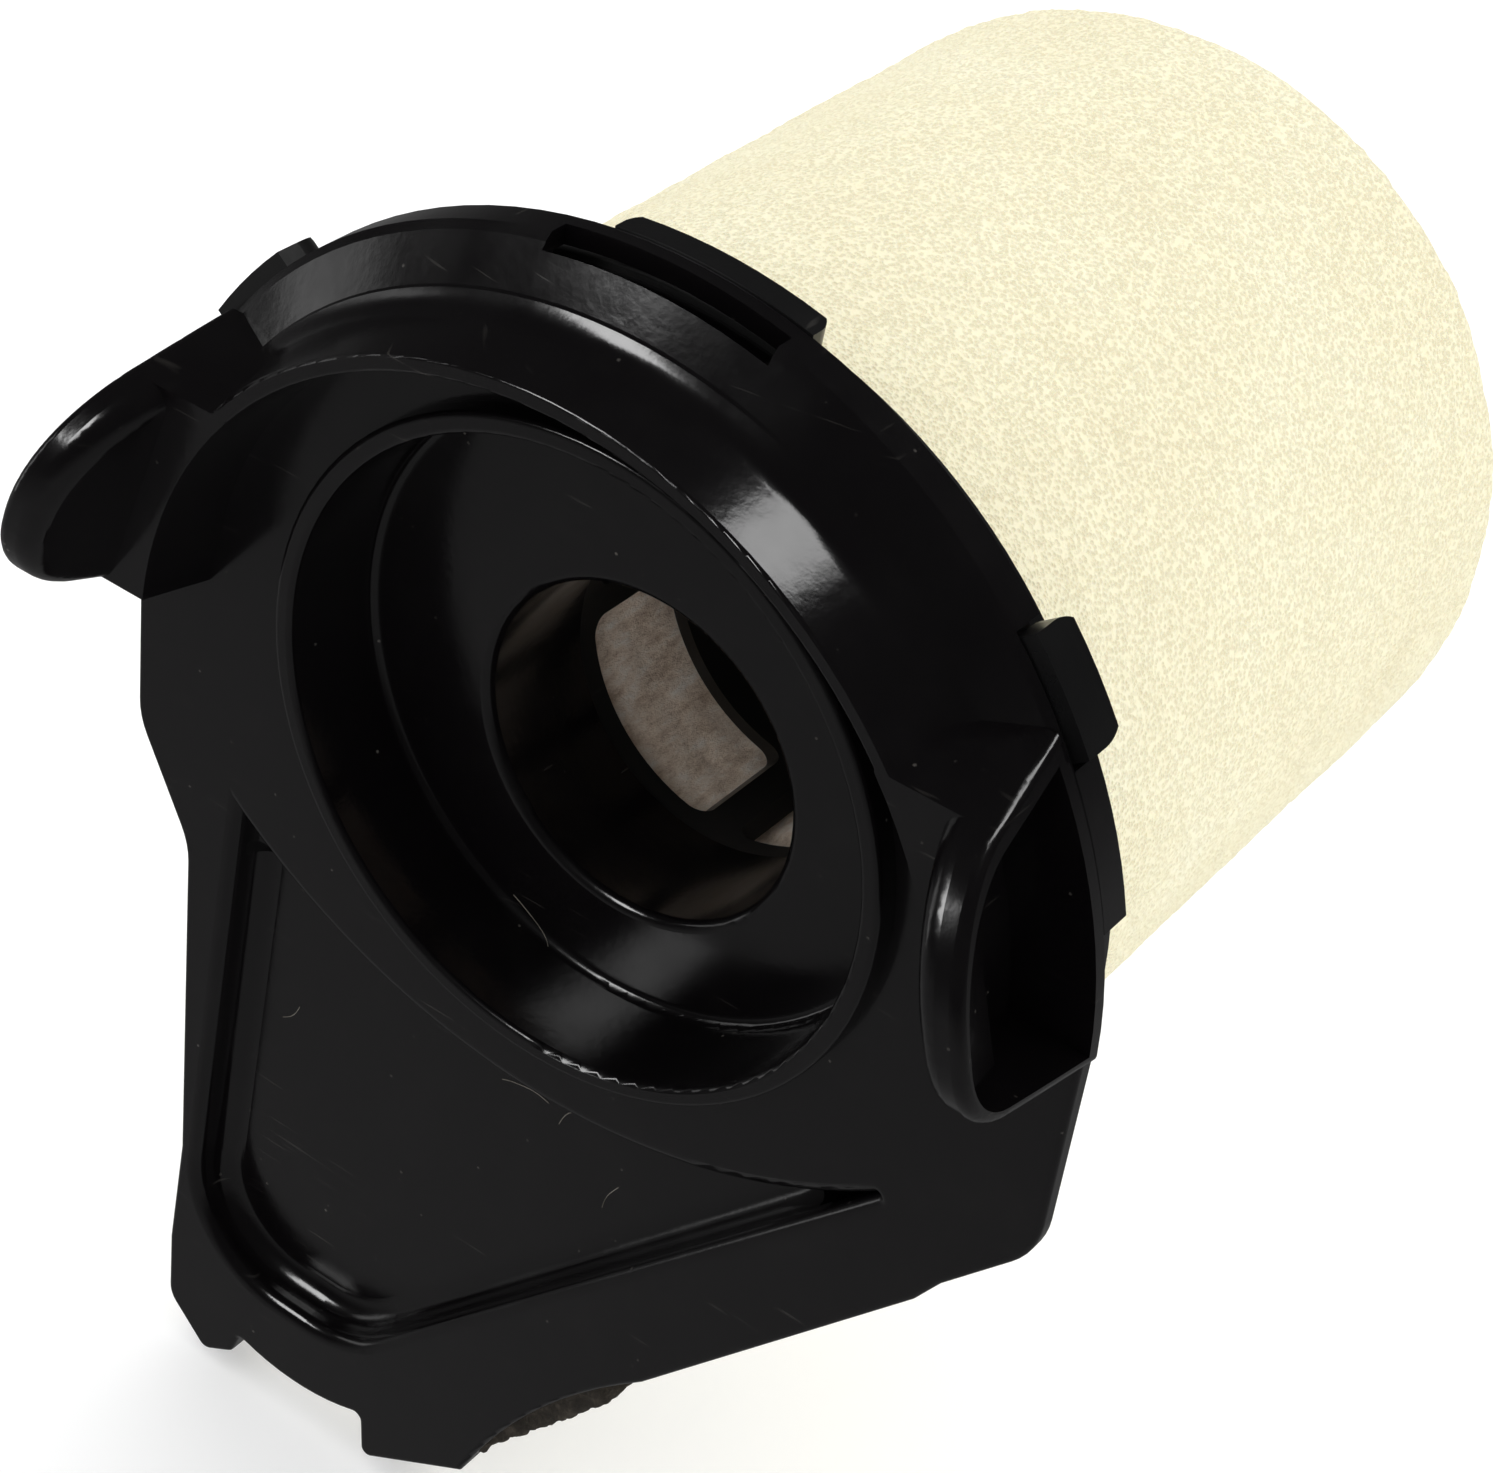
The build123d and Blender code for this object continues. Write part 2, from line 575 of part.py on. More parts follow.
# ---- basket that holds the foam round ----
with BuildPart() as foam_basket:
    with BuildSketch(Plane.XY):
        Polygon(
            (BASKET_FOOT_R, WEB_BACK),
            (BASKET_OUTER_R, WEB_BACK),
            (BASKET_OUTER_R, BASKET_END),
            (BASKET_INNER_R, BASKET_END),
            (BASKET_INNER_R, CORE_FLANGE_BACK),
            (BASKET_FOOT_R, CORE_FLANGE_BACK),
            align=None,
        )
    revolve(axis=Axis.Y)
    windows_span = BASKET_WINDOW_LENGTH + BASKET_WINDOW_PITCH * (BASKET_ROWS - 1)
    for window in range(BASKET_WINDOWS):
        with BuildSketch(outward(window * 360 / BASKET_WINDOWS)):
            with Locations((BASKET_WINDOW_START + windows_span / 2, 0)):
                with GridLocations(BASKET_WINDOW_PITCH, 0, BASKET_ROWS, 1):
                    RectangleRounded(BASKET_WINDOW_LENGTH, BASKET_WINDOW_WIDTH, BASKET_WINDOW_ROUND)
        extrude(amount=OUTSIDE, mode=Mode.SUBTRACT)
save(foam_basket, "foam_basket")

# ---- felt sleeve round the core ----
with BuildPart() as felt_liner:
    with BuildSketch(front_plane(FELT_START)):
        Circle(FELT_OUTER_R)
        Circle(FELT_INNER_R, mode=Mode.SUBTRACT)
    extrude(amount=FELT_START - FELT_END)
save(felt_liner, "felt_liner")

# ---- cap that closes the core and the basket at the far end ----
with BuildPart() as end_cap:
    with BuildSketch(Plane.XY):
        Polygon(
            (0, CAP_FRONT),
            (CAP_PLUG_INNER_R, CAP_FRONT),
            (CAP_PLUG_INNER_R, CAP_PLUG_START),
            (CAP_PLUG_R, CAP_PLUG_START),
            (CAP_PLUG_R, CAP_FRONT),
            (CAP_WALL_R, CAP_FRONT),
            (CAP_WALL_R, CAP_RIM_FRONT),
            (CAP_OUTER_R, CAP_RIM_FRONT),
            (CAP_OUTER_R, CAP_BACK),
            (CAP_HOLLOW_R, CAP_BACK),
            (CAP_HOLLOW_R, CAP_FLOOR),
            (0, CAP_FLOOR),
            align=None,
        )
    revolve(axis=Axis.Y)
    with BuildSketch(Plane.XY.offset(-TAB_THICK / 2)) as tab_shape:
        with Locations((0, CAP_FLOOR)):
            Rectangle(TAB_LENGTH, TAB_END - CAP_FLOOR, align=(Align.CENTER, Align.MIN))
        fillet(corner(tab_shape, (TAB_LENGTH / 2, TAB_END)), TAB_ROUND)
        fillet(corner(tab_shape, (-TAB_LENGTH / 2, TAB_END)), TAB_ROUND)
    extrude(amount=TAB_THICK)
save(end_cap, "end_cap")

# ---- foam sleeve ----
with BuildPart() as foam_sleeve:
    with BuildSketch(Plane.XY) as foam_section:
        Polygon(
            (FOAM_INNER_R, FOAM_FRONT),
            (FOAM_OUTER_R, FOAM_FRONT),
            (FOAM_OUTER_R, FOAM_END),
            (FOAM_INNER_R, FOAM_END),
            align=None,
        )
        fillet(corner(foam_section, (FOAM_OUTER_R, FOAM_END)), FOAM_ROUND)
    revolve(axis=Axis.Y)
save(foam_sleeve, "foam_sleeve")

# ---- fibre pad behind the arch ----
with BuildPart() as apron_seal_pad:
    with BuildSketch(front_plane(PAD_FRONT)):
        add(pad_outline.sketch)
    extrude(amount=PAD_FRONT - PAD_BACK)
save(apron_seal_pad, "apron_seal_pad")
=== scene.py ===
import math
import random

import bmesh
import bpy
from mathutils import Matrix, Vector, noise


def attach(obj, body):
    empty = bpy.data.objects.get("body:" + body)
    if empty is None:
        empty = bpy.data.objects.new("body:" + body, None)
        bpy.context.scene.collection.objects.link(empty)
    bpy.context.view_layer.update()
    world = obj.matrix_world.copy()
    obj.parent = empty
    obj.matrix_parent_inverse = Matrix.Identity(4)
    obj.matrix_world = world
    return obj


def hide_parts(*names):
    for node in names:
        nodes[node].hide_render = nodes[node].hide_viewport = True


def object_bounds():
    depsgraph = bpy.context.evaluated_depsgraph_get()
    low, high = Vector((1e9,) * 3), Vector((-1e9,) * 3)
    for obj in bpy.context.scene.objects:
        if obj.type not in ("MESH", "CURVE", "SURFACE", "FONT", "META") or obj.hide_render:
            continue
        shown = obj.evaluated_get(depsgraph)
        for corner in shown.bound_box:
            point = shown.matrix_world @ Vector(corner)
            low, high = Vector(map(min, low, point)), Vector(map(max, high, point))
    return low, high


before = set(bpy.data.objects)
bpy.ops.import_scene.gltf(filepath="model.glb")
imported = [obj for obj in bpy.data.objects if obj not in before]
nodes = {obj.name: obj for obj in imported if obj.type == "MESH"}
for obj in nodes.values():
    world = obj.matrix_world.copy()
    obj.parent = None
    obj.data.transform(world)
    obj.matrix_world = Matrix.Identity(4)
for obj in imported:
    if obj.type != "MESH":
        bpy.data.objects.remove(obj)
cad_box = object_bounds()
scene = bpy.context.scene

# ---- camera: turned about Z and raised, then rolled about the bore's axis ----
SENSOR = 36.0
FOCAL = 79.872
CAM_AZ = math.radians(35.92)
CAM_EL = math.radians(32.10)
CAM_ROLL = math.radians(8.5)
RIM = 0.062
CAM_DIST = 5.591 * RIM
AIM = Vector((-0.27283, -0.09089)) * RIM  # the rim's centre from the middle of the view, right and up
RIM_FRONT_Y = -0.0092

back = Vector((math.sin(CAM_AZ) * math.cos(CAM_EL), -math.cos(CAM_AZ) * math.cos(CAM_EL), math.sin(CAM_EL)))
right = Vector((math.cos(CAM_AZ), math.sin(CAM_AZ), 0))
up = back.cross(right)
roll = Matrix.Rotation(-CAM_ROLL, 3, "Y")
place = roll @ (back * CAM_DIST - right * AIM.x - up * AIM.y) + Vector((0, RIM_FRONT_Y, 0))
cam_data = bpy.data.cameras.new("camera")
cam_data.sensor_width = SENSOR
cam_data.lens = FOCAL
cam_data.clip_start = 0.01
camera = bpy.data.objects.new("camera", cam_data)
scene.collection.objects.link(camera)
axes = Matrix((roll @ right, roll @ up, roll @ back)).transposed()
camera.matrix_world = Matrix.Translation(place) @ axes.to_4x4()
scene.camera = camera


# ---- material helpers ----
def fresh(material):
    material.use_nodes = True
    tree = material.node_tree
    tree.nodes.clear()
    out = tree.nodes.new("ShaderNodeOutputMaterial")
    shader = tree.nodes.new("ShaderNodeBsdfPrincipled")
    tree.links.new(shader.outputs[0], out.inputs[0])
    return tree, shader


def noise_node(tree, scale, detail, rough=0.55, source=None):
    tex = tree.nodes.new("ShaderNodeTexNoise")
    tex.inputs["Scale"].default_value = scale
    tex.inputs["Detail"].default_value = detail
    tex.inputs["Roughness"].default_value = rough
    tree.links.new(source or coords(tree), tex.inputs["Vector"])
    return tex


def coords(tree):
    node = tree.nodes.get("coords")
    if node is None:
        node = tree.nodes.new("ShaderNodeTexCoord")
        node.name = "coords"
    return node.outputs["Object"]


def ramp(tree, source, stops):
    node = tree.nodes.new("ShaderNodeValToRGB")
    while len(node.color_ramp.elements) < len(stops):
        node.color_ramp.elements.new(0.5)
    for element, (position, colour) in zip(node.color_ramp.elements, stops):
        element.position = position
        element.color = (*colour, 1)
    tree.links.new(source, node.inputs[0])
    return node.outputs[0]


def to_range(tree, source, low, high, from_low=0.0, from_high=1.0):
    node = tree.nodes.new("ShaderNodeMapRange")
    node.inputs["From Min"].default_value = from_low
    node.inputs["From Max"].default_value = from_high
    node.inputs["To Min"].default_value = low
    node.inputs["To Max"].default_value = high
    tree.links.new(source, node.inputs["Value"])
    return node.outputs[0]


def bump(tree, shader, height, strength, distance):
    node = tree.nodes.new("ShaderNodeBump")
    node.inputs["Strength"].default_value = strength
    node.inputs["Distance"].default_value = distance
    tree.links.new(height, node.inputs["Height"])
    tree.links.new(node.outputs[0], shader.inputs["Normal"])


def mix_colour(tree, factor, first, second):
    node = tree.nodes.new("ShaderNodeMix")
    node.data_type = "RGBA"
    for index, value in ((0, factor), (6, first), (7, second)):
        if isinstance(value, tuple):
            node.inputs[index].default_value = (*value, 1)
        elif isinstance(value, float):
            node.inputs[index].default_value = value
        else:
            tree.links.new(value, node.inputs[index])
    return node.outputs[2]


def maths(tree, operation, first, second):
    node = tree.nodes.new("ShaderNodeMath")
    node.operation = operation
    for index, value in enumerate((first, second)):
        if isinstance(value, (int, float)):
            node.inputs[index].default_value = value
        else:
            tree.links.new(value, node.inputs[index])
    return node.outputs[0]


def stretched(tree, scale, turn):
    node = tree.nodes.new("ShaderNodeMapping")
    node.inputs["Scale"].default_value = scale
    node.inputs["Rotation"].default_value = (0, turn, 0)
    tree.links.new(coords(tree), node.inputs["Vector"])
    return node.outputs[0]


def cells(tree, scale):
    tex = tree.nodes.new("ShaderNodeTexVoronoi")
    tex.inputs["Scale"].default_value = scale
    tree.links.new(coords(tree), tex.inputs["Vector"])
    return tex


DUST_COLOUR = (0.30, 0.28, 0.25)


def plastic(material, colour, rough_low, rough_high, dust, scuffs):
    """Moulded black plastic with fingerprints, fine scratches and specks of dust."""
    tree, shader = fresh(material)
    shader.inputs["IOR"].default_value = 1.5
    smudge = noise_node(tree, 55.0, 4.0, 0.6)
    rough = to_range(tree, smudge.outputs[0], rough_low, rough_high, 0.35, 0.7)
    lines = []
    for turn, scale in ((0.5, 70.0), (-0.9, 95.0)):
        streak = noise_node(tree, scale, 2.0, 0.5, stretched(tree, (1.0, 1.0, 22.0), turn))
        lines.append(to_range(tree, streak.outputs[0], 0.0, 1.0, 0.70, 0.76))
    patch = to_range(tree, noise_node(tree, 38.0, 2.0).outputs[0], 0.0, scuffs, 0.48, 0.62)
    scratch = maths(tree, "MULTIPLY", maths(tree, "MAXIMUM", *lines), patch)
    speck = to_range(tree, cells(tree, 620.0).outputs["Distance"], 1.0, 0.0, 0.06, 0.16)
    sparse = to_range(tree, noise_node(tree, 260.0, 2.0).outputs[0], 0.0, dust, 0.62, 0.74)
    dusty = maths(tree, "MULTIPLY", speck, sparse)
    film = to_range(tree, noise_node(tree, 120.0, 5.0, 0.7).outputs[0], 0.0, 0.02 * dust, 0.5, 0.8)
    worn = maths(tree, "ADD", maths(tree, "ADD", dusty, film), maths(tree, "MULTIPLY", scratch, 0.22))
    tree.links.new(mix_colour(tree, worn, colour, DUST_COLOUR), shader.inputs["Base Color"])
    tree.links.new(maths(tree, "ADD", rough, maths(tree, "MULTIPLY", worn, 0.5)), shader.inputs["Roughness"])
    grain = noise_node(tree, 900.0, 2.0)
    bump(tree, shader, grain.outputs[0], 0.05, 0.0003)


def material_of(node):
    return nodes[node].data.materials[0]


plastic(material_of("front_housing"), (0.0022, 0.0018, 0.0021), 0.12, 0.25, 0.22, 0.35)
plastic(material_of("filter_frame"), (0.0035, 0.0034, 0.0036), 0.26, 0.40, 0.3, 0.4)
plastic(material_of("core_tube"), (0.005, 0.005, 0.005), 0.35, 0.5, 0.4, 0.3)

# ---- rubber ----
tree, shader = fresh(material_of("rim_seal"))
chalk = to_range(tree, noise_node(tree, 140.0, 5.0, 0.7).outputs[0], 0.0, 0.8, 0.45, 0.8)
rubber = mix_colour(tree, chalk, (0.006, 0.006, 0.006), (0.024, 0.022, 0.020))
tree.links.new(rubber, shader.inputs["Base Color"])
shader.inputs["Roughness"].default_value = 0.58
bump(tree, shader, noise_node(tree, 1300.0, 3.0).outputs[0], 0.15, 0.0003)


def finish_mesh(name, mesh, material, node, body):
    """Puts a soft piece in the scene in place of its plain CAD solid."""
    mesh.materials.append(material)
    mesh.shade_smooth()
    piece = bpy.data.objects.new(name, mesh)
    scene.collection.objects.link(piece)
    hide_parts(node)
    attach(piece, body)


def rounded(points, radii, step):
    """A closed outline of radius and depth with rounded corners, cut into short steps."""
    outline = []
    count = len(points)
    for index, point in enumerate(points):
        here = Vector(point)
        before = (Vector(points[index - 1]) - here).normalized()
        after = (Vector(points[(index + 1) % count]) - here).normalized()
        radius = radii[index]
        centre = here + (before + after) * radius
        turns = max(2, round(radius * 1.6 / step))
        for turn in range(turns + 1):
            part = turn / turns * math.pi / 2
            outline.append(centre - after * radius * math.cos(part) - before * radius * math.sin(part))
    spread = []
    for index, point in enumerate(outline):
        following = outline[(index + 1) % len(outline)]
        pieces = max(1, round((following - point).length / step))
        spread += [point.lerp(following, part / pieces) for part in range(pieces)]
    return spread


def turned(name, outline, segments, displace):
    """A closed body turned round the Y axis, each point moved along its normal by displace(point)."""
    mesh = bpy.data.meshes.new(name)
    count = len(outline)
    normals = []
    for index in range(count):
        along = outline[(index + 1) % count] - outline[index - 1]
        normals.append(Vector((along.y, -along.x)).normalized())
    verts = []
    for segment in range(segments):
        angle = segment / segments * math.tau
        ca, sa = math.cos(angle), math.sin(angle)
        for point, normal in zip(outline, normals):
            place = Vector((point.x * ca, point.y, point.x * sa))
            out = Vector((normal.x * ca, normal.y, normal.x * sa))
            verts.append(place + out * displace(place))
    faces = []
    for segment in range(segments):
        one, two = segment * count, (segment + 1) % segments * count
        for index in range(count):
            nxt = (index + 1) % count
            faces.append((one + index, two + index, two + nxt, one + nxt))
    mesh.from_pydata(verts, [], faces)
    fix = bmesh.new()
    fix.from_mesh(mesh)
    bmesh.ops.recalc_face_normals(fix, faces=fix.faces)
    fix.to_mesh(mesh)
    fix.free()
    return mesh


# ---- cream open-cell foam sleeve ----
FOAM_IN, FOAM_OUT = 0.0385, 0.0507
FOAM_START, FOAM_END = 0.0036, 0.1014
FOAM_PORE = 0.00016
FOAM_LUMP = 0.0003
FOAM_ROUNDS = (0.0010, 0.0050, 0.0012, 0.0008)
FOAM_STEP = 0.00075
FOAM_SEGMENTS = 400
FOAM_LEAN = Vector((0.0005, 0, 0.0019))  # the soft outside leans up a little at its far end


def foam_surface(place):
    lump = noise.noise(place * 70.0) * FOAM_LUMP
    pores = noise.noise(place * 900.0) * FOAM_PORE + noise.noise(place * 520.0) * FOAM_PORE
    inner = math.hypot(place.x, place.z) < (FOAM_IN + FOAM_OUT) / 2
    return min(lump + pores, 0.0) if inner else lump + pores


foam_material = bpy.data.materials.new("open_cell_foam")
tree, shader = fresh(foam_material)
pore = cells(tree, 2100.0)
pore_pit = to_range(tree, pore.outputs["Distance"], 1.0, 0.0, 0.15, 0.62)
fine = noise_node(tree, 3200.0, 3.0)
stain = noise_node(tree, 45.0, 4.0, 0.6)
creams = ((0.25, (0.875, 0.815, 0.58)), (0.5, (0.90, 0.85, 0.615)), (0.75, (0.92, 0.88, 0.66)))
lit = ramp(tree, stain.outputs[0], creams)
# the cream is mixed towards a darker brown near the cell centres, the same spots the bump sinks: painted
# shade in the pits of the foam
pore_shade = mix_colour(tree, 0.26, lit, (0.58, 0.44, 0.20))
tree.links.new(mix_colour(tree, pore_pit, lit, pore_shade), shader.inputs["Base Color"])
shader.inputs["Roughness"].default_value = 0.92
shader.inputs["Subsurface Weight"].default_value = 0.12
shader.inputs["Subsurface Radius"].default_value = (0.0012, 0.0009, 0.0005)
shader.inputs["Subsurface Scale"].default_value = 1.0
sunk = maths(tree, "MULTIPLY", pore_pit, -1.0)
depth = maths(tree, "ADD", sunk, maths(tree, "MULTIPLY", fine.outputs[0], 0.35))
bump(tree, shader, depth, 0.6, 0.00035)

foam_outline = rounded(
    ((FOAM_OUT, FOAM_START), (FOAM_OUT, FOAM_END), (FOAM_IN, FOAM_END), (FOAM_IN, FOAM_START)),
    FOAM_ROUNDS,
    FOAM_STEP,
)
foam = turned("foam_sleeve_cut", foam_outline, FOAM_SEGMENTS, foam_surface)
for vert in foam.vertices:
    outside = (math.hypot(vert.co.x, vert.co.z) - FOAM_IN) / (FOAM_OUT - FOAM_IN)
    along = (vert.co.y - FOAM_START) / (FOAM_END - FOAM_START)
    vert.co += FOAM_LEAN * max(0.0, outside) * max(0.0, along) ** 1.2
finish_mesh("foam_sleeve_cut", foam, foam_material, "foam_sleeve", "foam")

# ---- felt behind the core's windows ----
FELT_IN, FELT_OUT = 0.0226, 0.0273
FELT_START, FELT_END = 0.0175, 0.0877
FELT_ROUND = 0.0006
FELT_STEP = 0.0009
FELT_SEGMENTS = 240
FELT_TUFT, FELT_FUZZ = 0.00045, 0.00018
FELT_SHRINK = 0.0005  # keeps the tufts clear of the core


def felt_surface(place):
    tuft = noise.noise(place * 190.0) * FELT_TUFT + noise.noise(place * 520.0) * FELT_FUZZ
    return tuft - FELT_SHRINK


felt_material = bpy.data.materials.new("needled_felt")
tree, shader = fresh(felt_material)
split = tree.nodes.new("ShaderNodeSeparateXYZ")
tree.links.new(coords(tree), split.inputs[0])
# the felt is mixed towards a dark brown the higher it lies: painted shade towards the top of the sleeve
height = to_range(tree, split.outputs["Z"], 0.0, 0.55, 0.002, 0.022)
fibres = noise_node(tree, 520.0, 5.0, 0.75, stretched(tree, (1.0, 0.35, 1.0), 0.4))
felt_tones = ((0.32, (0.56, 0.40, 0.28)), (0.5, (0.88, 0.73, 0.59)), (0.68, (0.97, 0.89, 0.80)))
tone = ramp(tree, fibres.outputs[0], felt_tones)
tree.links.new(mix_colour(tree, height, tone, (0.34, 0.23, 0.12)), shader.inputs["Base Color"])
shader.inputs["Roughness"].default_value = 0.95
shader.inputs["Sheen Weight"].default_value = 0.3
bump(tree, shader, fibres.outputs[0], 0.9, 0.0008)

felt_outline = rounded(
    ((FELT_OUT, FELT_START), (FELT_OUT, FELT_END), (FELT_IN, FELT_END), (FELT_IN, FELT_START)),
    (FELT_ROUND,) * 4,
    FELT_STEP,
)
felt = turned("felt_sleeve", felt_outline, FELT_SEGMENTS, felt_surface)
finish_mesh("felt_sleeve", felt, felt_material, "felt_liner", "cartridge")

# ---- ragged fibre pad behind the apron's arch ----
PAD_CORNERS = ((-0.0095, -0.1137), (0.0130, -0.0854), (0.0060, -0.0798), (-0.0165, -0.1081))
PAD_Y = (-0.0093, -0.0036)
PAD_VOXEL = 0.00045
PAD_FLAT = 0.15  # how far the flat faces share in the raggedness of the sides
PAD_SHRINK = 0.0002
PAD_RAGGED, PAD_FRAY = 0.0006, 0.0004

pad_material = bpy.data.materials.new("matted_fibre")
tree, shader = fresh(pad_material)
strands = noise_node(tree, 480.0, 6.0, 0.78, stretched(tree, (1.0, 0.5, 1.0), 0.9))
blotch = noise_node(tree, 150.0, 3.0)
fibre_tones = ((0.3, (0.010, 0.008, 0.005)), (0.5, (0.038, 0.030, 0.021)), (0.7, (0.10, 0.082, 0.062)))
tone = ramp(tree, strands.outputs[0], fibre_tones)
matted = to_range(tree, blotch.outputs[0], 0.0, 0.7, 0.4, 0.7)
tree.links.new(mix_colour(tree, matted, tone, (0.022, 0.018, 0.013)), shader.inputs["Base Color"])
shader.inputs["Roughness"].default_value = 0.97
bump(tree, shader, strands.outputs[0], 1.0, 0.0012)

block = bmesh.new()
front = [block.verts.new((x, PAD_Y[0], z)) for x, z in PAD_CORNERS]
rear = [block.verts.new((x, PAD_Y[1], z)) for x, z in PAD_CORNERS]
block.faces.new(front)
block.faces.new(rear[::-1])
for index in range(len(PAD_CORNERS)):
    nxt = (index + 1) % len(PAD_CORNERS)
    block.faces.new((front[nxt], front[index], rear[index], rear[nxt]))
bmesh.ops.recalc_face_normals(block, faces=block.faces)
pad_mesh = bpy.data.meshes.new("pad_block")
block.to_mesh(pad_mesh)
block.free()
pad_block = bpy.data.objects.new("pad_block", pad_mesh)
scene.collection.objects.link(pad_block)
remesh = pad_block.modifiers.new("remesh", "REMESH")
remesh.mode = "VOXEL"
remesh.voxel_size = PAD_VOXEL
pad = bpy.data.meshes.new_from_object(pad_block.evaluated_get(bpy.context.evaluated_depsgraph_get()))
bpy.data.objects.remove(pad_block)
pad.name = "fibre_pad"
shaped = bmesh.new()
shaped.from_mesh(pad)
shaped.normal_update()
for vert in shaped.verts:
    ragged = noise.noise(vert.co * 330.0) * PAD_RAGGED + noise.noise(vert.co * 900.0) * PAD_FRAY
    side = Vector((vert.normal.x, vert.normal.y * PAD_FLAT, vert.normal.z))
    vert.co += side * (ragged - PAD_SHRINK)
shaped.to_mesh(pad)
shaped.free()
finish_mesh("fibre_pad", pad, pad_material, "apron_seal_pad", "housing")

# ---- fine lint caught on the shield ----
HAIR_R = 0.00004
HAIR_STEP = 0.0007
HAIR_SIDES = 5
HAIR_COUNT = 9
HAIR_SEED = 11
HAIR_SHORTEST = 4  # points in the shortest strand that is kept
IN_FRONT = -0.08
shield = nodes["front_housing"]
to_shield = shield.matrix_world.inverted()


def surface_y(x, z):
    """The depth of the shield's front surface at a point seen along the bore, or None off its edge."""
    start = to_shield @ Vector((x, IN_FRONT, z))
    along = (to_shield.to_3x3() @ Vector((0, 1, 0))).normalized()
    hit, spot, _, _ = shield.ray_cast(start, along)
    return (shield.matrix_world @ spot).y if hit else None


def lay_hair(builder, x, z, heading, curl, steps):
    """A thin closed strand that follows the surface, stopping where the surface steps away."""
    path = []
    for step in range(steps):
        y = surface_y(x, z)
        if y is None or (path and abs(y - path[-1].y) > HAIR_STEP):
            break
        path.append(Vector((x, y - HAIR_R * 1.5, z)))
        x += math.cos(heading) * HAIR_STEP
        z += math.sin(heading) * HAIR_STEP
        heading += curl * (1.0 + 0.8 * math.sin(step * 0.9))
    if len(path) < HAIR_SHORTEST:
        return
    rings = []
    for index, point in enumerate(path):
        along = (path[min(index + 1, len(path) - 1)] - path[max(index - 1, 0)]).normalized()
        side = along.cross(Vector((0, 1, 0))).normalized()
        lift = side.cross(along)
        ring = []
        for corner in range(HAIR_SIDES):
            angle = corner / HAIR_SIDES * math.tau
            ring.append(builder.verts.new(point + (side * math.cos(angle) + lift * math.sin(angle)) * HAIR_R))
        rings.append(ring)
    for one, two in zip(rings, rings[1:]):
        for corner in range(HAIR_SIDES):
            nxt = (corner + 1) % HAIR_SIDES
            builder.faces.new((one[corner], one[nxt], two[nxt], two[corner]))
    builder.faces.new(rings[0][::-1])
    builder.faces.new(rings[-1])


draw = random.Random(HAIR_SEED)
hairs = bmesh.new()
for _ in range(HAIR_COUNT):
    lay_hair(
        hairs,
        draw.uniform(-0.050, 0.030),
        draw.uniform(-0.100, 0.030),
        draw.uniform(0, math.tau),
        draw.uniform(-0.16, 0.16),
        draw.randint(6, 22),
    )
bmesh.ops.recalc_face_normals(hairs, faces=hairs.faces)
hair_mesh = bpy.data.meshes.new("lint")
hairs.to_mesh(hair_mesh)
hairs.free()
lint_material = bpy.data.materials.new("lint")
tree, shader = fresh(lint_material)
hair_tone = noise_node(tree, 300.0, 2.0)
hair_tones = ((0.35, (0.10, 0.09, 0.07)), (0.65, (0.24, 0.22, 0.19)))
tree.links.new(ramp(tree, hair_tone.outputs[0], hair_tones), shader.inputs["Base Color"])
shader.inputs["Roughness"].default_value = 0.7
hair_mesh.materials.append(lint_material)
lint = bpy.data.objects.new("lint", hair_mesh)
scene.collection.objects.link(lint)
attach(lint, "housing")

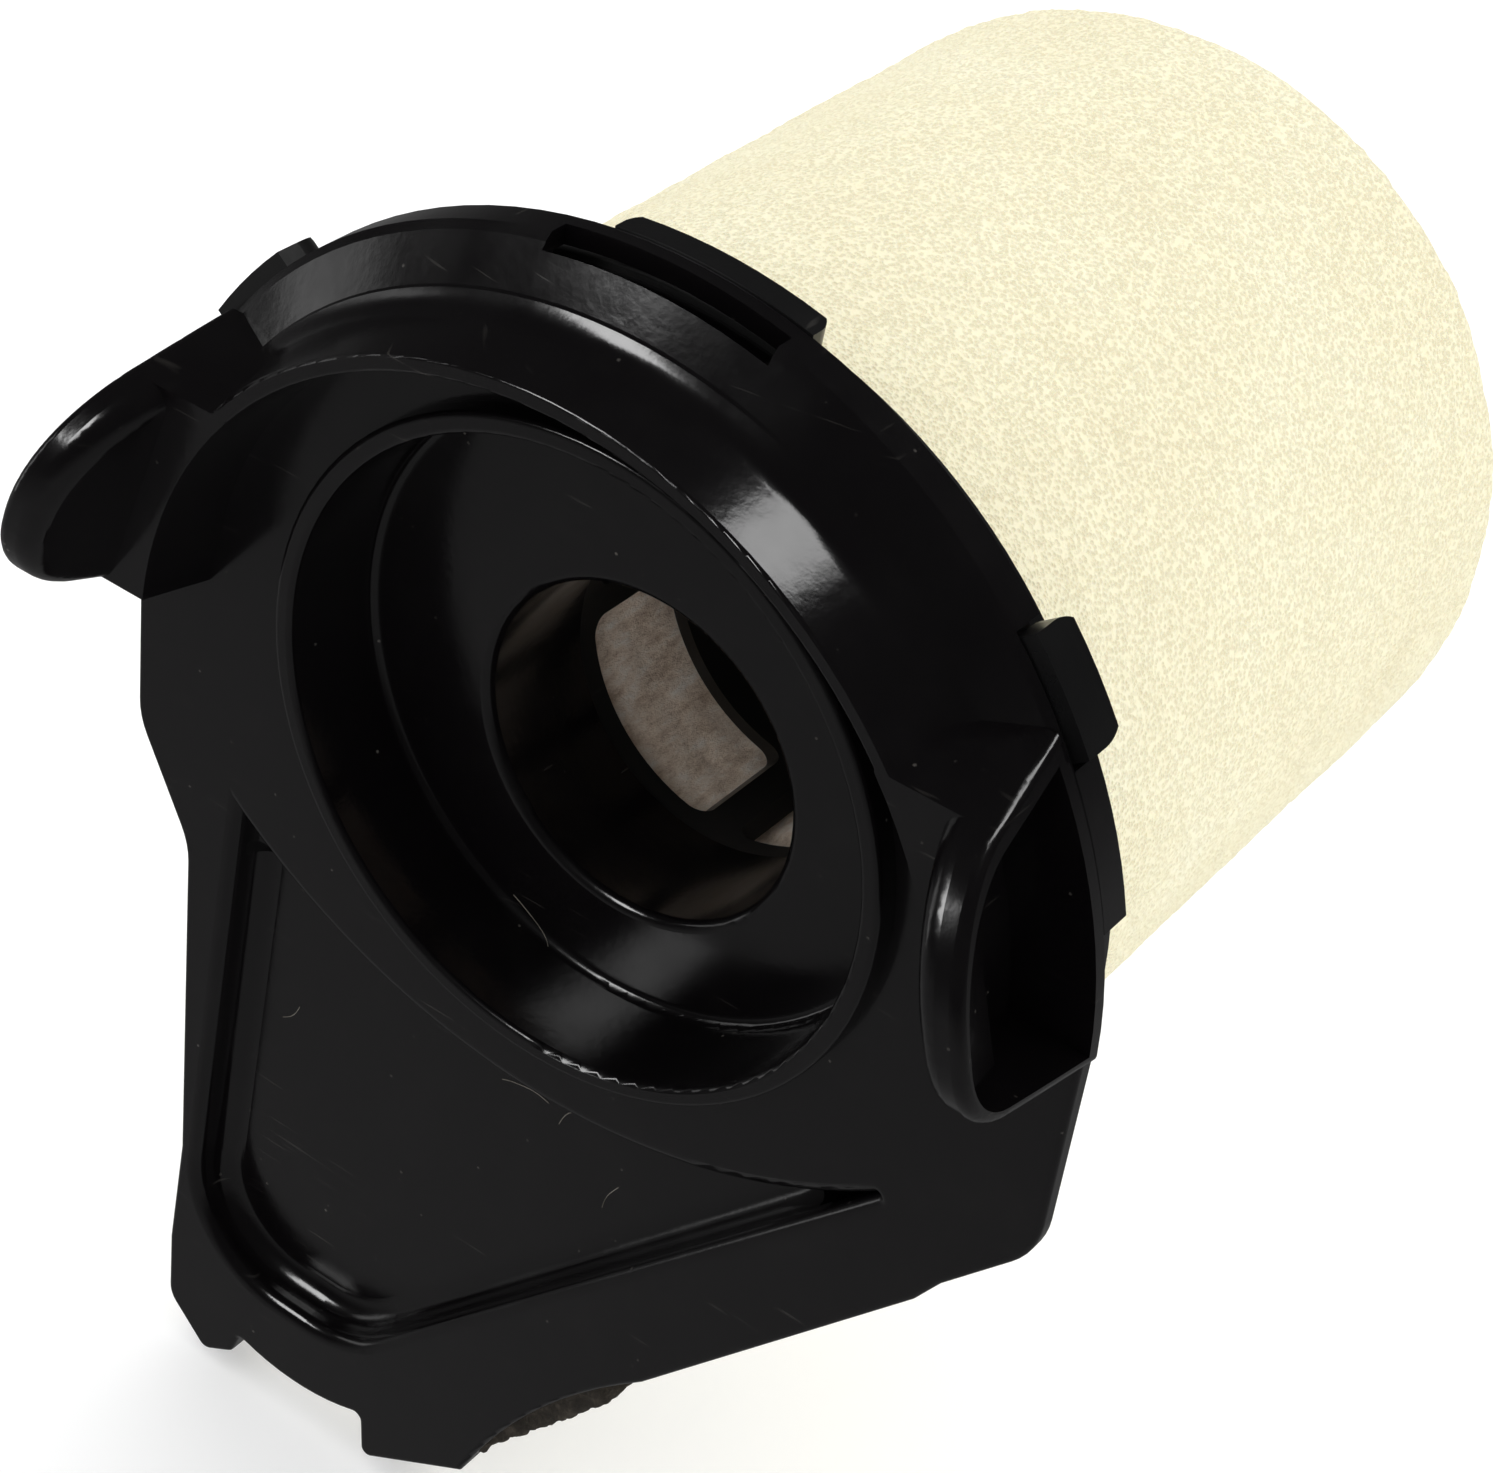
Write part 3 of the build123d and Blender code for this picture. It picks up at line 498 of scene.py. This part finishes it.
# ---- floor and light ----
FLOOR_GAP = 0.002
FLOOR_REACH = 4.0
FLOOR_GLOW = 0.12
low = cad_box[0][2] - FLOOR_GAP
corners = [(x * FLOOR_REACH, y * FLOOR_REACH, low) for x, y in ((-1, -1), (1, -1), (1, 1), (-1, 1))]
mesh = bpy.data.meshes.new("floor")
mesh.from_pydata(corners, [], [(0, 1, 2, 3)])
floor = bpy.data.objects.new("floor", mesh)
scene.collection.objects.link(floor)
floor_material = bpy.data.materials.new("floor")
tree, shader = fresh(floor_material)
shader.inputs["Base Color"].default_value = (0.95, 0.95, 0.95, 1)
shader.inputs["Emission Color"].default_value = (1, 1, 1, 1)
shader.inputs["Emission Strength"].default_value = FLOOR_GLOW
shader.inputs["Roughness"].default_value = 0.9
mesh.materials.append(floor_material)
floor.visible_glossy = False

# the room is bright to the eye and dim in the plastic's reflections, so the blacks stay deep
WORLD_SEEN = 1.2
REFLECTED_ABOVE = 0.03
REFLECTED_BELOW = 0.18
world = bpy.data.worlds.new("world")
scene.world = world
world.use_nodes = True
sky = world.node_tree
backdrop = sky.nodes["Background"]
backdrop.inputs[0].default_value = (1, 1, 1, 1)
path_kind = sky.nodes.new("ShaderNodeLightPath")
heading = sky.nodes.new("ShaderNodeTexCoord")
parts = sky.nodes.new("ShaderNodeSeparateXYZ")
sky.links.new(heading.outputs["Generated"], parts.inputs[0])
dim = to_range(sky, parts.outputs["Z"], REFLECTED_BELOW, REFLECTED_ABOVE, -0.35, 0.1)
strength = sky.nodes.new("ShaderNodeMapRange")
strength.inputs["To Min"].default_value = WORLD_SEEN
sky.links.new(dim, strength.inputs["To Max"])
sky.links.new(path_kind.outputs["Is Glossy Ray"], strength.inputs["Value"])
sky.links.new(strength.outputs[0], backdrop.inputs[1])


def area(name, position, target, size, power):
    """A soft box that shows in reflections only; the world gives the diffuse light."""
    data = bpy.data.lights.new(name, "AREA")
    data.shape = "RECTANGLE"
    data.size, data.size_y = size
    data.energy = power
    light = bpy.data.objects.new(name, data)
    scene.collection.objects.link(light)
    light.location = position
    light.rotation_euler = (Vector(target) - Vector(position)).to_track_quat("-Z", "Y").to_euler()
    light.visible_diffuse = False


area("key", (0.27, 0.35, 0.78), (0, 0, 0), (0.20, 0.26), 1.15)
area("left", (-0.43, -0.58, 0.56), (0, 0, 0), (0.22, 0.34), 3.0)
area("low_left", (-0.80, -0.30, 0.05), (0, 0, -0.03), (0.14, 0.50), 0.3)
scene.view_settings.view_transform = "Standard"
